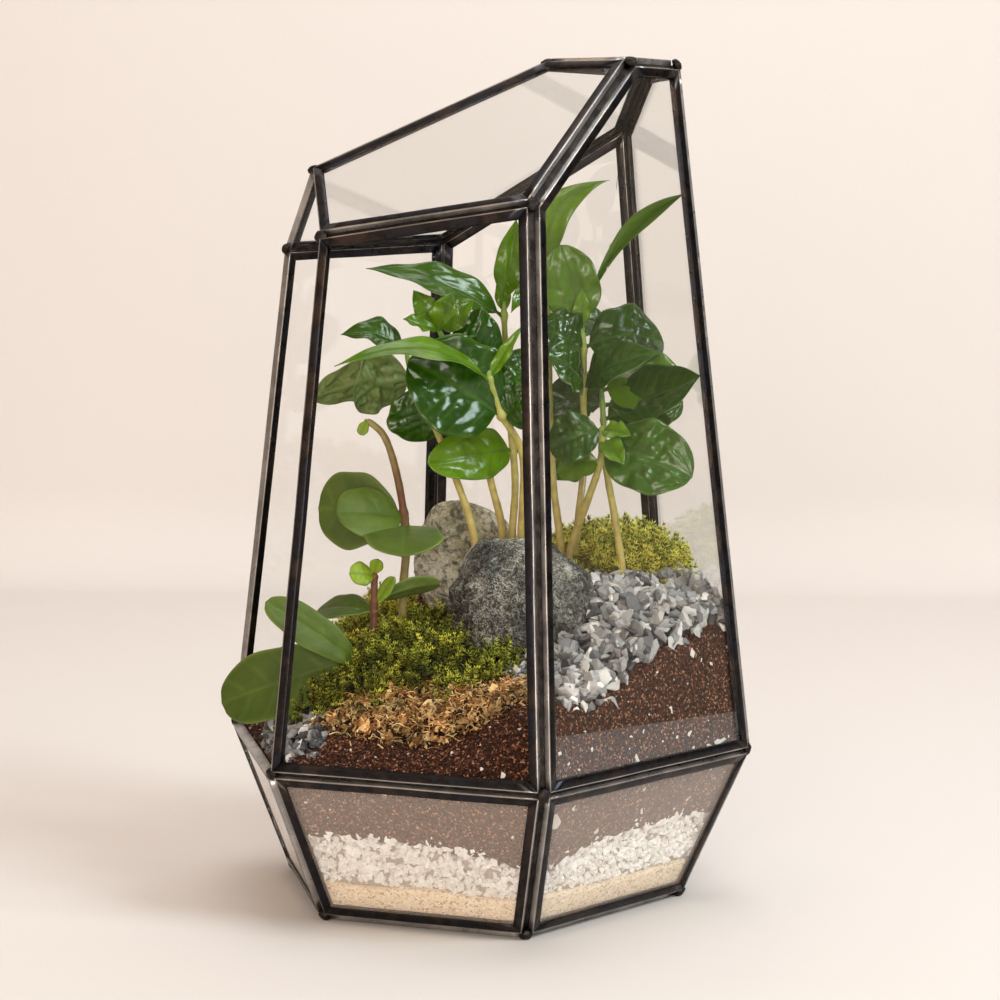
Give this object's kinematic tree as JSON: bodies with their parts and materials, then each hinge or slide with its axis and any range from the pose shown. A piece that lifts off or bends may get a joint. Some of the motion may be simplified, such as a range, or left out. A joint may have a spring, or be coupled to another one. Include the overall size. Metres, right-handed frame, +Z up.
{
  "type": "glass plant terrarium",
  "caption": "Planted geometric terrarium: a slanted glass house in dark soldered came with two open sides, filled with layered sand, gravel, soil, moss, rocks, slate chips and small plants.",
  "frame": {"origin": "under the middle of the whole object's outline, on the surface that it stands on", "axes": "+Z up; -X out through the open gable side; -Y towards the front corner, between the open front side and the tall glazed side"},
  "size_m": [0.1822, 0.1958, 0.2952],
  "materials": {
    "came": "satin",
    "glass": "polished",
    "sand": "matte",
    "white_gravel": "matte",
    "soil": "matte",
    "slate": "matte",
    "rock": "matte",
    "moss": "matte",
    "dried_moss": "matte",
    "coffee_leaf": "gloss",
    "peperomia_leaf": "satin"
  },
  "bodies": {
    "root": {"came_base": "came", "came_belt": "came", "came_eave_front": "came", "came_eave_rear_left": "came", "came_eave_rear_right": "came", "came_gable_front": "came", "came_gable_rear": "came", "came_post_front": "came", "came_post_left": "came", "came_post_rear": "came", "came_post_rear_left": "came", "came_post_rear_right": "came", "came_post_right": "came", "came_rake_front": "came", "came_rake_rear": "came", "came_ridge": "came", "came_strut_front": "came", "came_strut_left": "came", "came_strut_rear": "came", "came_strut_rear_left": "came", "came_strut_rear_right": "came", "came_strut_right": "came", "came_top": "came", "coffee_1": "coffee_leaf", "coffee_2": "coffee_leaf", "coffee_3": "coffee_leaf", "coffee_4": "coffee_leaf", "coffee_5": "coffee_leaf", "coffee_6": "coffee_leaf", "coffee_7": "coffee_leaf", "coffee_8": "coffee_leaf", "dried_moss": "dried_moss", "glass_base": "glass", "glass_front_right": "glass", "glass_lower_front": "glass", "glass_lower_front_right": "glass", "glass_lower_gable": "glass", "glass_lower_rear_left": "glass", "glass_lower_rear_right": "glass", "glass_lower_right": "glass", "glass_rear_left": "glass", "glass_rear_right": "glass", "glass_right": "glass", "glass_roof_front": "glass", "glass_roof_rear": "glass", "glass_top": "glass", "moss_front": "moss", "moss_rear": "moss", "moss_right": "moss", "peperomia_low": "peperomia_leaf", "peperomia_tall": "peperomia_leaf", "peperomia_young": "peperomia_leaf", "rock_front": "rock", "rock_rear": "rock", "sand": "sand", "slate_left": "slate", "slate_right": "slate", "soil": "soil", "white_gravel": "white_gravel"}
  },
  "joints": []
}
